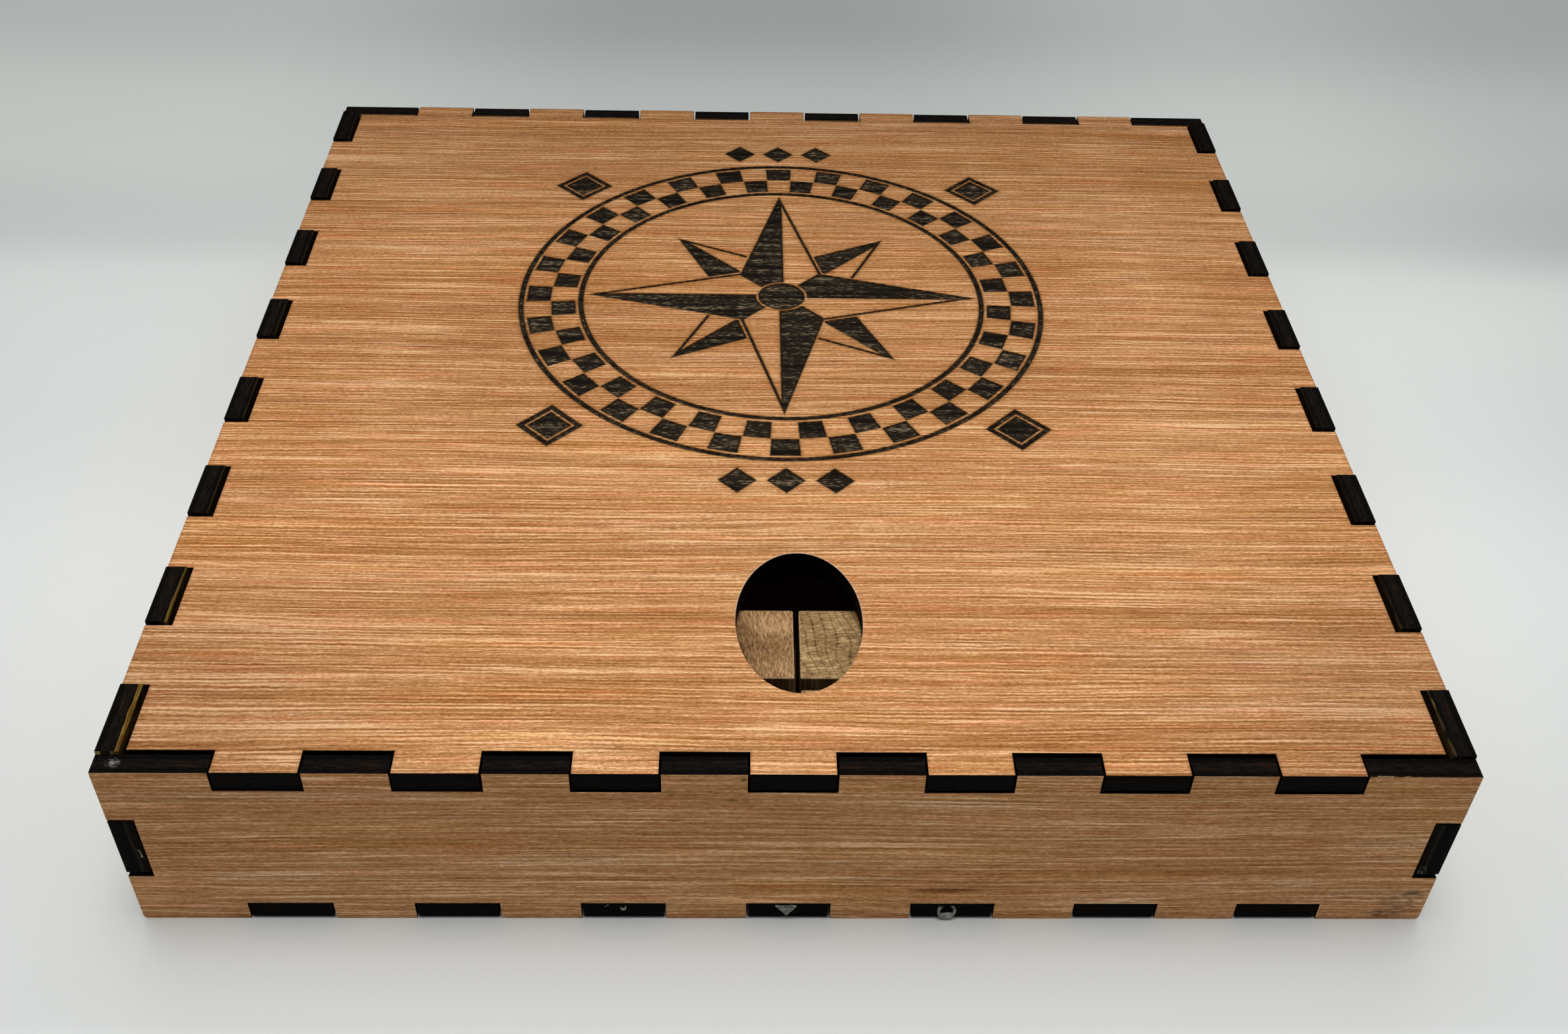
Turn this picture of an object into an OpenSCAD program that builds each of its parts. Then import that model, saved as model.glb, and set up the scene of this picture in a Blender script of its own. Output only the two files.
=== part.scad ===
// A flat square box for a chess set, laser cut from plywood and finger jointed.
// The lid is loose and lifts straight up by its oval finger hole. The men are
// square blocks that stand on the base, light ones in front and dark ones behind.
// The playing board is burnt into the underside, so the box is turned over to play.
// +X is right, +Y is to the back, +Z is up, from the middle of the footprint.

/* [Box] */
// Outer width, across the finger tips
box_w = 304.8; // [250:0.1:420]
// Outer depth from front to back, across the finger tips
box_d = 304.8; // [285:0.1:420]
// Height of each wall
wall_h = 52.8; // [40:0.1:80]
// Thickness of the plywood
ply_t = 5.2; // [3:0.1:8]
// How far the side walls stand above the front and back walls
side_rise = 1; // [0:0.1:2]
// Rounding of the front and back walls' lower corners
foot_r = 1.2; // [0.3:0.1:4]

/* [Finger joints] */
// Fingers along each edge of the lid and the base
finger_count = 7; // [3:1:11]
// How much deeper the notches are than the plywood is thick
notch_room = 0.8; // [0.1:0.1:2]
// Sum of the two gaps beside each finger
finger_play = 1.1; // [0.2:0.05:1.6]
// Height of the side walls' finger through each upright corner
corner_finger_h = 18.4; // [10:0.1:24]
// Gap between the lid and the inner faces of the walls
lid_gap = 1.2; // [0.2:0.1:2]

/* [Finger hole] */
// Width of the oval hole in the lid
hole_w = 30.6; // [18:0.1:60]
// Length of the hole, from front to back
hole_l = 47.5; // [25:0.1:60]
// Distance of the hole's middle behind the box's front
hole_from_front = 47.8; // [40:0.1:60]
// How far the hole's middle lies right of the box's middle
hole_right = 2.2; // [-10:0.1:10]

/* [Men] */
// Side of each man's square plan
man_w = 22.9; // [14:0.1:30]
// Rounding of the men's upright edges
man_edge_r = 0.5; // [0.3:0.1:3]
// Space between the men's tops and the closed lid
head_room = 2; // [0.5:0.1:10]
// Gap between neighbours in a row
neighbour_gap = 1.35; // [0.5:0.05:3]
// Gap between the pawns and the officers
row_gap = 3.8; // [2:0.1:8]
// Gap between the officers and the wall behind them
wall_play = 3.7; // [3:0.1:8]
// How far the men's middle gap lies right of the box's middle
men_right = 1.8; // [-5:0.1:5]
// Width of the signs cut in the officers' tops
sign_w = 13; // [6:0.1:13.5]
// Depth of the signs
sign_depth = 0.6; // [0.2:0.1:2]

/* [Glue] */
// Leg of the glue beads in the inner corners
glue_leg = 1.6; // [0.8:0.1:1.8]
// Space between the upright beads and the closed lid
glue_stop = 8; // [1:0.5:20]

/* [Burnt patterns] */
// Depth of the burnt areas
burn_depth = 0.3; // [0.1:0.1:1]
// Width of the burnt lines
line_w = 1.4; // [0.8:0.1:2]
// Bare line left between two burnt areas
bare_w = 0.8; // [0.3:0.1:1.5]
// Outer radius of the rosette on the lid
rosette_r = 79; // [70:0.5:85]
// Distance of the rosette's middle from the box's back
rosette_from_back = 117.8; // [105:0.1:125]
// Checks in each row of the rosette's ring
check_count = 28; // [16:4:40]
// Width of one row of checks, towards the rosette's middle
check_w = 7.4; // [4:0.1:9]
// Bare rim of the base around the playing board's frame
board_margin = 8; // [4:0.5:20]
// Bare space between the frame and the squares
frame_gap = 1.6; // [0.8:0.1:4]

/* [Hidden] */
$fn = 96;
SQUARES = 8;
cut_over = 1;

// The base lies against the upper ends of its notches, and the lid on the lower
// ends of the side walls' notches
joint_depth = ply_t + notch_room;
inner_w = box_w - 2 * ply_t;
inner_d = box_d - 2 * ply_t;
base_z = notch_room;
floor_z = base_z + ply_t;
lid_z = wall_h - joint_depth + side_rise;
lid_top = lid_z + ply_t;
corner_notch_h = corner_finger_h + side_rise + finger_play;
corner_notch_z = (wall_h - corner_notch_h) / 2;
corner_finger_z = corner_notch_z + corner_notch_h - finger_play / 2 - corner_finger_h - side_rise;

// Men, in the order of the board's columns from the left
OFFICERS = ["rook_1", "knight_1", "bishop_1", "queen", "king", "bishop_2", "knight_2", "rook_2"];
// How far each man stands out of line, because the men are loose
officer_slip = [0.3, -0.6, 0.2, -1, 0, -0.4, 0.5, -0.2];
pawn_slip = [-0.2, 0.4, -0.3, 0, 0, 0.3, -0.4, 0.2];
man_h = lid_z - floor_z - head_room;
man_pitch = man_w + neighbour_gap;
officer_y = inner_d / 2 - wall_play - man_w / 2;
pawn_y = officer_y - man_w - row_gap;

// Rosette, from its rim to its middle
rosette_y = box_d / 2 - rosette_from_back;
ring_out_r = rosette_r - line_w - bare_w;
ring_mid_r = ring_out_r - check_w;
ring_in_r = ring_mid_r - check_w;
field_r = ring_in_r - bare_w - line_w;
star_tip_r = field_r - 2 * bare_w;
star_side_r = star_tip_r * 0.3;
back_tip_r = star_tip_r * 0.78;
hub_r = star_tip_r * 0.12;
rim_lozenge = 9;
small_lozenge = 5;
lozenge_gap = 3;

// Playing board
frame_w = min(inner_w, inner_d) - 2 * board_margin;
square_w = (frame_w - 2 * line_w - 2 * frame_gap) / SQUARES;

function man_names(side) = concat(
    [for (officer = OFFICERS) str(side, "_", officer)],
    [for (i = [1:SQUARES]) str(side, "_pawn_", i)]
);

// Fingers and the gaps between them share an edge's inner length equally
function finger_pitch(span) = (span - 2 * joint_depth) / (2 * finger_count + 1);
function finger_places(span) =
    [for (i = [0:finger_count - 1]) (2 * i + 1 - finger_count) * finger_pitch(span)];
function polar(r, a) = [r * cos(a), r * sin(a)];

// A polygon's points moved towards a centre by a share of their distance
function shrink(points, centre, share) = [for (p = points) centre + (p - centre) * (1 - share)];

// A triangle with each side moved inwards by a distance
function inset_triangle(t, distance) =
    let (
        a = norm(t[1] - t[2]),
        b = norm(t[2] - t[0]),
        c = norm(t[0] - t[1]),
        centre = (a * t[0] + b * t[1] + c * t[2]) / (a + b + c),
        area = abs((t[1] - t[0]).x * (t[2] - t[0]).y - (t[1] - t[0]).y * (t[2] - t[0]).x) / 2,
        in_r = 2 * area / (a + b + c)
    )
    shrink(t, centre, distance / in_r);

function rounded_square(w, r, steps = 6) = [
    for (quarter = [0:3], step = [0:steps])
        polar((w / 2 - r) * sqrt(2), 90 * quarter + 45) + polar(r, 90 * (quarter + step / steps))
];
function oval(w, l, steps = 96) =
    [for (i = [0:steps - 1]) [w / 2 * cos(360 * i / steps), l / 2 * sin(360 * i / steps)]];

// Lid and base share one outline: a rectangle with fingers on all four edges
module panel_outline(edge_gap) {
    square([inner_w - 2 * edge_gap, inner_d - 2 * edge_gap], center = true);
    for (x = finger_places(box_w))
        translate([x, 0]) square([finger_pitch(box_w) - finger_play / 2, box_d], center = true);
    for (y = finger_places(box_d))
        translate([0, y]) square([box_w, finger_pitch(box_d) - finger_play / 2], center = true);
}

module edge_notches(span) {
    for (x = finger_places(span), z = [0, wall_h])
        translate([x, z]) square([finger_pitch(span) + finger_play / 2, 2 * joint_depth], center = true);
}

// What a rounding of that radius takes off a corner at the origin
module corner_waste(r) {
    difference() {
        translate([-cut_over, -cut_over]) square(r + cut_over);
        translate([r, r]) circle(r);
    }
}

module long_wall() {
    rotate([90, 0, 0])
        linear_extrude(ply_t)
            difference() {
                translate([-box_w / 2, 0]) square([box_w, wall_h]);
                edge_notches(box_w);
                for (side = [0, 1])
                    mirror([side, 0])
                        translate([-box_w / 2, 0]) {
                            translate([-joint_depth, corner_notch_z])
                                square([2 * joint_depth, corner_notch_h]);
                            corner_waste(foot_r);
                        }
            }
}

module short_wall() {
    rotate([90, 0, 90])
        linear_extrude(ply_t)
            difference() {
                union() {
                    translate([-inner_d / 2, 0]) square([inner_d, wall_h]);
                    translate([-box_d / 2, corner_finger_z]) square([box_d, corner_finger_h]);
                }
                edge_notches(box_d);
            }
}

module front_wall() {
    color("Peru") translate([0, -inner_d / 2, 0]) long_wall();
}

module back_wall() {
    color("Peru") translate([0, inner_d / 2 + ply_t, 0]) long_wall();
}

module left_wall() {
    color("Chocolate") translate([-inner_w / 2 - ply_t, 0, side_rise]) short_wall();
}

module right_wall() {
    color("Chocolate") translate([inner_w / 2, 0, side_rise]) short_wall();
}

// Four-pointed star, whose sides all lie equally far from its middle
function star_points(tip_r, side_r) = [for (i = [0:7]) polar(i % 2 == 0 ? tip_r : side_r, 45 * i)];
function star_side_distance(tip_r, side_r) =
    tip_r * side_r * sin(45) / norm(polar(tip_r, 0) - polar(side_r, 45));

// Star whose points are half burnt and half bare inside a burnt outline
module faceted_star(tip_r, side_r) {
    difference() {
        polygon(star_points(tip_r, side_r));
        for (i = [0:3])
            polygon(inset_triangle([[0, 0], polar(tip_r, 90 * i), polar(side_r, 90 * i - 45)], line_w / 2));
    }
}

module lozenge(half) {
    polygon([[half, 0], [0, half], [-half, 0], [0, -half]]);
}

module lozenge_in_frame(half) {
    difference() {
        lozenge(half);
        lozenge(half - line_w * sqrt(2));
    }
    lozenge(half - (line_w + bare_w) * sqrt(2));
}

module line_ring(outer_r) {
    difference() {
        circle(outer_r);
        circle(outer_r - line_w);
    }
}

module check_row(inner_r, outer_r, turn) {
    half = 90 / check_count;
    trim = bare_w / 4;
    for (i = [0:check_count - 1])
        rotate(turn + 360 * i / check_count)
            polygon([
                [inner_r + trim, -inner_r * tan(half) + trim],
                [outer_r - trim, -outer_r * tan(half) + trim],
                [outer_r - trim, outer_r * tan(half) - trim],
                [inner_r + trim, inner_r * tan(half) - trim]
            ]);
}

module rosette() {
    grown = 1 + bare_w / star_side_distance(star_tip_r, star_side_r);
    line_ring(rosette_r);
    check_row(ring_mid_r, ring_out_r, 0);
    check_row(ring_in_r, ring_mid_r, 180 / check_count);
    line_ring(ring_in_r - bare_w);
    difference() {
        rotate(45) faceted_star(back_tip_r, star_side_r);
        polygon(star_points(star_tip_r * grown, star_side_r * grown));
    }
    difference() {
        faceted_star(star_tip_r, star_side_r);
        circle(hub_r + bare_w);
    }
    circle(hub_r);
    for (i = [0:3])
        translate(polar(rosette_r + rim_lozenge + lozenge_gap, 90 * i + 45)) lozenge_in_frame(rim_lozenge);
    for (end = [-1, 1], x = [-1, 0, 1])
        translate([x * (2 * small_lozenge + lozenge_gap), end * (rosette_r + small_lozenge + lozenge_gap)])
            lozenge(small_lozenge);
}

module lid_panel() {
    color("SandyBrown")
        difference() {
            translate([0, 0, lid_z]) linear_extrude(ply_t) panel_outline(lid_gap);
            translate([hole_right, hole_from_front - box_d / 2, lid_z - cut_over])
                linear_extrude(ply_t + 2 * cut_over) polygon(oval(hole_w, hole_l));
            translate([0, rosette_y, lid_top - burn_depth]) linear_extrude(burn_depth + cut_over) rosette();
        }
}

module playing_board() {
    difference() {
        square(frame_w, center = true);
        square(frame_w - 2 * line_w, center = true);
    }
    for (column = [0:SQUARES - 1], row = [0:SQUARES - 1])
        if ((column + row) % 2 == 1)
            translate([column - (SQUARES - 1) / 2, row - (SQUARES - 1) / 2] * square_w)
                square(square_w - bare_w / 2, center = true);
}

module base_panel() {
    color("BurlyWood")
        difference() {
            translate([0, 0, base_z]) linear_extrude(ply_t) panel_outline(0);
            translate([0, 0, base_z - cut_over]) linear_extrude(burn_depth + cut_over) playing_board();
        }
}

module level_bead(length, from_middle) {
    translate([0, -from_middle, floor_z])
        rotate([90, 0, 90])
            linear_extrude(length, center = true)
                intersection() {
                    circle(glue_leg);
                    square(glue_leg);
                }
}

module upright_beads() {
    translate([0, 0, floor_z])
        linear_extrude(lid_z - floor_z - glue_stop)
            intersection() {
                square([inner_w, inner_d], center = true);
                for (x = [-1, 1], y = [-1, 1])
                    translate([x * inner_w, y * inner_d] / 2) circle(glue_leg);
            }
}

module glue_beads() {
    color("WhiteSmoke") {
        upright_beads();
        for (turn = [0, 180]) {
            rotate(turn) level_bead(inner_w - 4 * glue_leg, inner_d / 2);
            rotate(turn + 90) level_bead(inner_d - 4 * glue_leg, inner_w / 2);
        }
    }
}

module king_sign() {
    square([sign_w, sign_w / 4], center = true);
    square([sign_w / 4, sign_w], center = true);
}

module queen_sign() {
    circle(sign_w / 5);
    for (i = [0:7])
        rotate(45 * i) translate([sign_w * 0.41, 0]) circle(sign_w * 0.09);
}

module rook_sign() {
    difference() {
        square(sign_w, center = true);
        square(sign_w / 2, center = true);
        square([2 * sign_w, sign_w / 5], center = true);
        square([sign_w / 5, 2 * sign_w], center = true);
    }
}

module bishop_sign() {
    difference() {
        circle(sign_w / 2);
        rotate(45) square([2 * sign_w, sign_w / 5], center = true);
    }
}

// The knight's sign is the shape of its move
module knight_sign() {
    cell = sign_w / 3;
    translate([-cell, -1.5 * cell])
        polygon([[0, 0], [2, 0], [2, 1], [1, 1], [1, 3], [0, 3]] * cell);
}

module officer_sign(column) {
    if (column == 0 || column == 7) rook_sign();
    if (column == 1 || column == 6) knight_sign();
    if (column == 2 || column == 5) bishop_sign();
    if (column == 3) queen_sign();
    if (column == 4) king_sign();
}

// Facing is -1 for the light men at the front and 1 for the dark men at the back
module man(index, facing) {
    officer = index < SQUARES;
    column = index % SQUARES;
    x = men_right + (column - (SQUARES - 1) / 2) * man_pitch;
    y = officer ? officer_y - officer_slip[column] : pawn_y - pawn_slip[column];
    color(facing < 0 ? "Wheat" : "SaddleBrown")
        translate([x, facing * y, floor_z])
            difference() {
                linear_extrude(man_h) polygon(rounded_square(man_w, man_edge_r));
                if (officer)
                    translate([0, 0, man_h - sign_depth])
                        linear_extrude(sign_depth + cut_over) officer_sign(column);
            }
}

lid_panel();
base_panel();
front_wall();
back_wall();
left_wall();
right_wall();
glue_beads();
for (i = [0:2 * SQUARES - 1])
    man(i, -1);
for (i = [0:2 * SQUARES - 1])
    man(i, 1);
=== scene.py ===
import math

import bmesh
import bpy
from bpy.props import FloatProperty, FloatVectorProperty, IntProperty, PointerProperty
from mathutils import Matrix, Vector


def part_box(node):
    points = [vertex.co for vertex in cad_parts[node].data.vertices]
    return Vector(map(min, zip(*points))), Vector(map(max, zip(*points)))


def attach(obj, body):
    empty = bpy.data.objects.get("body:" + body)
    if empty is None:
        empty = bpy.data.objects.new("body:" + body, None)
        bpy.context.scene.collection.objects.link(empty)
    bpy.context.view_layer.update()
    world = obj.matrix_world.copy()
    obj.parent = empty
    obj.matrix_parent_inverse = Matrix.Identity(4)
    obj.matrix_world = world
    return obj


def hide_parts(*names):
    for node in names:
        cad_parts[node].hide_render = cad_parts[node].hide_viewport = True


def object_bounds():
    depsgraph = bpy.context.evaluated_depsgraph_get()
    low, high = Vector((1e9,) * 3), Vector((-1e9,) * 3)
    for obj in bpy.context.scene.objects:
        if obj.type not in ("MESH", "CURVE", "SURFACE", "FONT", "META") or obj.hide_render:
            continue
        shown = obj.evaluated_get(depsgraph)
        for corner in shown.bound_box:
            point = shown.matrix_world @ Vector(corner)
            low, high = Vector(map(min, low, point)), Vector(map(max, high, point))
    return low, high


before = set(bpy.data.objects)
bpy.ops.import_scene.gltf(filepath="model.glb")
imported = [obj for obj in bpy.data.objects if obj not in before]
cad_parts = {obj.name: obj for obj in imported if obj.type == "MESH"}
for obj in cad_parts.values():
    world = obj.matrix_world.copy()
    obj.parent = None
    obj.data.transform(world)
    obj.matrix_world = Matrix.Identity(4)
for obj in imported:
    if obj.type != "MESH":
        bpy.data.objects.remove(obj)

bl_info = {
    "name": "Plywood Chess Box",
    "version": (1, 0, 0),
    "blender": (4, 5, 0),
    "location": "View3D > Sidebar > Chess Box",
    "description": "Dresses a finger-jointed plywood chess box and its block chessmen",
    "category": "Object",
}

MM = 0.001
WOOD_SHINE, MEN_SHINE, GLUE_SHINE, FLOOR_SHINE = 0.03, 0.15, 0.5, 0.25
CAD_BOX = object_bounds()
WALLS = {"front_wall": "Y", "back_wall": "Y", "left_wall": "X", "right_wall": "X"}
OFFICERS = ("rook_1", "knight_1", "bishop_1", "queen", "king", "bishop_2", "knight_2", "rook_2")
PAWNS = tuple(f"pawn_{number}" for number in range(1, 9))


def box_mm(node):
    """A node's lowest and highest corners in millimetres."""
    low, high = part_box(node)
    return low / MM, high / MM


LID_LOW, LID_HIGH = box_mm("lid_panel")
BASE_LOW, BASE_HIGH = box_mm("base_panel")
FRONT_LOW, FRONT_HIGH = box_mm("front_wall")
PLY = LID_HIGH.z - LID_LOW.z
INNER = -2 * box_mm("left_wall")[1].x
JOINT = BASE_HIGH.z
# A panel's side has notches and fingers by turns, and a finger is a little narrower than its notch
SIDE_SEGMENTS, SIDE_FINGERS, FINGER_PLAY = 15, 7, 0.55
PITCH = 2 * (LID_HIGH.x - JOINT) / SIDE_SEGMENTS
HOLE_MIDDLE, HOLE_HALF = (2.2, 47.8 + FRONT_LOW.y), (30.6 / 2, 47.5 / 2)
# The star's sides and hub and the star behind it, as shares of its reach
STAR_SIDE, STAR_HUB, BACK_STAR = 0.3, 0.12, 0.78
# Half the lozenges' diagonals, and the gap beside each
CORNER_LOZENGE, SIDE_LOZENGE, LOZENGE_GAP = 9, 5, 3
BOARD_ROWS = 8


# Sizes and colours that a user may change

def colour_setting(name, description, default, most=1):
    """A colour, or factors for one."""
    return FloatVectorProperty(
        name=name, description=description, default=default, min=0, max=most, subtype="COLOR")


def length_setting(name, description, default, most=10.0):
    """A length in metres."""
    return FloatProperty(name=name, description=description, default=default, min=0, max=most, unit="LENGTH")


def angle_setting(name, description, degrees):
    """An angle whose default is written in degrees."""
    return FloatProperty(
        name=name, description=description, default=math.radians(degrees), unit="ROTATION")


def place_setting(name, description, default):
    """A place in metres."""
    return FloatVectorProperty(
        name=name, description=description, default=default,
        subtype="TRANSLATION", unit="LENGTH", precision=5)


class VeneerLook(bpy.types.PropertyGroup):
    """Colours and figure of the face veneer"""

    tint: colour_setting("Tint", "Multiplies the veneer's own colours", (1.0, 0.972, 0.90), most=2)
    wall_tint: colour_setting(
        "Wall tint", "Multiplies the colours of the walls' veneer", (0.93, 0.98, 1.0), most=2)
    streak_pitch: length_setting("Streak pitch", "Distance between neighbouring fine streaks", 0.80 * MM)
    streak_length: length_setting("Streak length", "Usual length of a fine streak", 95 * MM)
    contrast: FloatProperty(
        name="Contrast", description="Strength of the streaks", default=1.0, min=0, max=2, subtype="FACTOR")


class BurntLook(bpy.types.PropertyGroup):
    """Colours of the cut edges and the burnt patterns"""

    pattern: colour_setting("Burnt pattern", "Colour of the burnt patterns", (0.020, 0.0145, 0.0092))
    fibre: colour_setting(
        "Bare fibres", "Colour of the fibres that show in the burnt patterns", (0.30, 0.225, 0.135))
    edge: colour_setting("Cut edge", "Colour of the charred edges", (0.0026, 0.0020, 0.0016))
    core: colour_setting("Core", "Colour of the middle ply at the charred edges", (0.0085, 0.0056, 0.0038))
    glue_line: colour_setting(
        "Glue line", "Colour of the inner rim of the side walls' tops", (0.165, 0.105, 0.014))
    halo: length_setting("Smoke halo", "Reach of the smoke around the burnt patterns", 1.7 * MM)


class RosetteSizes(bpy.types.PropertyGroup):
    """The rosette's sizes, the same as in the part's source"""

    radius: length_setting("Radius", "Outer radius", 79 * MM)
    from_back: length_setting("From the back", "Distance of the middle from the box's back", 117.8 * MM)
    line: length_setting("Line width", "Width of the burnt lines", 1.4 * MM)
    bare: length_setting("Bare gap", "Bare line left between two burnt areas", 0.8 * MM)
    check: length_setting("Check width", "Width of a row of checks", 7.4 * MM)
    checks: IntProperty(name="Checks", description="Checks in each row of the ring", default=28, min=4)


class BoardSizes(bpy.types.PropertyGroup):
    """The playing board on the underside, the same as in the part's source"""

    margin: length_setting("Margin", "Bare rim around the board's frame", 8 * MM)
    frame_gap: length_setting("Frame gap", "Bare space between the frame and the squares", 1.6 * MM)


class MenLook(bpy.types.PropertyGroup):
    """Shape and colours of the men"""

    light: colour_setting("Light wood", "Colour of the light men", (0.34, 0.20, 0.085))
    dark: colour_setting("Dark wood", "Colour of the dark men", (0.105, 0.052, 0.028))
    rim: length_setting("Rim rounding", "Rounding of the top and bottom rims", 0.45 * MM, most=1 * MM)


class GlueLook(bpy.types.PropertyGroup):
    """Colour and unevenness of the glue"""

    colour: colour_setting("Glue", "Colour of the glue", (0.62, 0.62, 0.57))
    waves: length_setting("Waves", "Unevenness of the beads", 0.7 * MM, most=2 * MM)


class StageLook(bpy.types.PropertyGroup):
    """Floor, lamps and camera"""

    floor: colour_setting("Floor", "Colour of the floor", (0.855, 0.88, 0.865))
    glow: colour_setting(
        "Background glow", "Colour that the floor adds for the camera alone", (0.92, 1.0, 0.93))
    front_width: length_setting("Front lamp width", "Width of the lamp over the box's front", 0.6)
    back_width: length_setting("Back lamp width", "Width of the lamp behind the box", 1.2)
    lamp_depth: length_setting("Lamp depth", "Depth of both lamps", 0.6)
    front_power: FloatProperty(
        name="Front lamp power", description="Power of the lamp over the box's front in watts",
        default=0.69, min=0)
    front_place: place_setting(
        "Front lamp place", "Middle of the lamp over the box's front", (-0.015, -0.2, 0.5))
    front_spread: angle_setting("Front lamp spread", "How wide the front lamp's light fans out", 48)
    back_power: FloatProperty(
        name="Back lamp power", description="Power of the lamp behind the box in watts", default=2.6, min=0)
    back_place: place_setting("Back lamp place", "Middle of the lamp behind the box", (0, 0.45, 0.9))
    back_tilt: angle_setting("Back lamp tilt", "Tilt of the back lamp towards the box", -28)
    wall: colour_setting("Far wall", "Colour that the camera sees past the floor", (0.56, 0.60, 0.57))
    sky: FloatProperty(
        name="Sky", description="Strength of the even light from all sides", default=0.20, min=0, max=2)
    camera_place: place_setting(
        "Camera place", "Where the camera stands", (-0.0124214, -0.3864452, 0.3325323))
    camera_turn: FloatVectorProperty(
        name="Camera turn", description="Rotation of the camera",
        default=(math.radians(48.80997), math.radians(-1.355415), math.radians(-0.892232)),
        subtype="EULER", unit="ROTATION", precision=5)
    lens: FloatProperty(
        name="Lens", description="Focal length in millimetres on a 36 mm wide sensor",
        default=37.9225, min=10)


class ChessBoxSettings(bpy.types.PropertyGroup):
    """All settings of the chess box"""

    veneer: PointerProperty(name="Veneer", description="Face veneer", type=VeneerLook)
    burnt: PointerProperty(name="Burnt", description="Burnt wood", type=BurntLook)
    rosette: PointerProperty(name="Rosette", description="Rosette on the lid", type=RosetteSizes)
    board: PointerProperty(name="Board", description="Board on the underside", type=BoardSizes)
    men: PointerProperty(name="Men", description="Chessmen", type=MenLook)
    glue: PointerProperty(name="Glue", description="Hot glue", type=GlueLook)
    stage: PointerProperty(name="Stage", description="Floor, lamps and camera", type=StageLook)


# Materials

class Field:
    """One output of a material's node. Arithmetic on it adds Math nodes."""

    def __init__(self, paint, socket):
        self.paint = paint
        self.socket = socket

    def math(self, operation, *others):
        """A Math node with this output as its first value."""
        return self.paint.math(operation, self, *others)

    def __add__(self, other):
        return self.math("ADD", other)

    def __sub__(self, other):
        return self.math("SUBTRACT", other)

    def __rsub__(self, other):
        return self.paint.math("SUBTRACT", other, self)

    def __mul__(self, other):
        return self.math("MULTIPLY", other)

    def __truediv__(self, other):
        return self.math("DIVIDE", other)

    def __rtruediv__(self, other):
        return self.paint.math("DIVIDE", other, self)

    def __pow__(self, other):
        return self.math("POWER", other)

    def __gt__(self, other):
        return self.math("GREATER_THAN", other)

    def __lt__(self, other):
        return self.math("LESS_THAN", other)

    def __neg__(self):
        return self.paint.math("SUBTRACT", 0.0, self)

    def __abs__(self):
        return self.math("ABSOLUTE")

    __radd__ = __add__
    __rmul__ = __mul__


class Paint:
    """The nodes of one material. Places are in millimetres."""

    def __init__(self, name):
        self.material = bpy.data.materials.new(name)
        self.material.use_nodes = True
        self.tree = self.material.node_tree
        self.tree.nodes.clear()
        places = self.add("ShaderNodeTexCoord", output="Object")
        self.x, self.y, self.z = (axis / MM for axis in self.split(places))

    def add(self, kind, settings=None, sockets=None, output=0):
        """Makes a node, then its settings, then its sockets' values or links. Gives one output."""
        node = self.tree.nodes.new(kind)
        for name, value in (settings or {}).items():
            if name == "stops":
                self.set_stops(node.color_ramp, value)
            else:
                setattr(node, name, value)
        for name, value in (sockets or {}).items():
            if isinstance(value, Field):
                self.tree.links.new(value.socket, node.inputs[name])
            else:
                node.inputs[name].default_value = value
        return Field(self, node.outputs[output])

    @staticmethod
    def set_stops(ramp, stops):
        while len(ramp.elements) < len(stops):
            ramp.elements.new(1.0)
        for element, (place, colour) in zip(ramp.elements, stops):
            element.position = place
            element.color = (*colour, 1.0)

    def math(self, operation, *values):
        return self.add("ShaderNodeMath", {"operation": operation}, dict(enumerate(values)))

    def split(self, vector):
        node = self.add("ShaderNodeSeparateXYZ", sockets={"Vector": vector}).socket.node
        return [Field(self, output) for output in node.outputs]

    def normal(self):
        """The face's own direction, split in x, y and z."""
        return self.split(self.add("ShaderNodeTexCoord", output="Normal"))

    def finish(self, colour, roughness, height, specular, **more):
        """Ends the material in one shader, with bumps of that height in millimetres."""
        sockets = {"Base Color": colour, "Roughness": roughness, "Specular IOR Level": specular, **more}
        bumps = {"Height": height * MM, "Distance": 1.0, "Strength": 1.0}
        sockets["Normal"] = self.add("ShaderNodeBump", sockets=bumps, output="Normal")
        shader = self.add("ShaderNodeBsdfPrincipled", sockets=sockets)
        end = self.tree.nodes.new("ShaderNodeOutputMaterial")
        self.tree.links.new(shader.socket, end.inputs["Surface"])
        return self.material


def point(x, y, z=0.0):
    """A vector from three values, the first of them a Field."""
    return x.paint.add("ShaderNodeCombineXYZ", sockets={"X": x, "Y": y, "Z": z})


def noise(x, y, z=0.0, detail=0.0, roughness=0.5):
    """Smooth noise around 0, mostly between -1 and 1."""
    cloud = x.paint.add("ShaderNodeTexNoise", {"noise_dimensions": "3D"},
                        {"Vector": point(x, y, z), "Scale": 1.0, "Detail": detail, "Roughness": roughness})
    return (cloud - 0.5) * 4


def rise(value, low, high):
    """0 below low, 1 above high, and a smooth rise between them. It falls where high is below low."""
    ends = (low, high, 0.0, 1.0) if low < high else (high, low, 1.0, 0.0)
    names = ("From Min", "From Max", "To Min", "To Max")
    return value.paint.add("ShaderNodeMapRange", {"interpolation_type": "SMOOTHSTEP"},
                           {"Value": value, **dict(zip(names, ends))})


def clamp(value):
    """The value held between 0 and 1."""
    return value.paint.add("ShaderNodeClamp", sockets={"Value": value})


def lowest(first, *others):
    for other in others:
        first = first.math("MINIMUM", other)
    return first


def highest(first, *others):
    for other in others:
        first = first.math("MAXIMUM", other)
    return first


def length(x, y):
    """The distance from the middle."""
    return (x * x + y * y).math("SQRT")


def oval(x, y, middle, half):
    """Distance from a spot's middle, which is 1 on its outline."""
    return length((x - middle[0]) / half[0], (y - middle[1]) / half[1])


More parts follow.
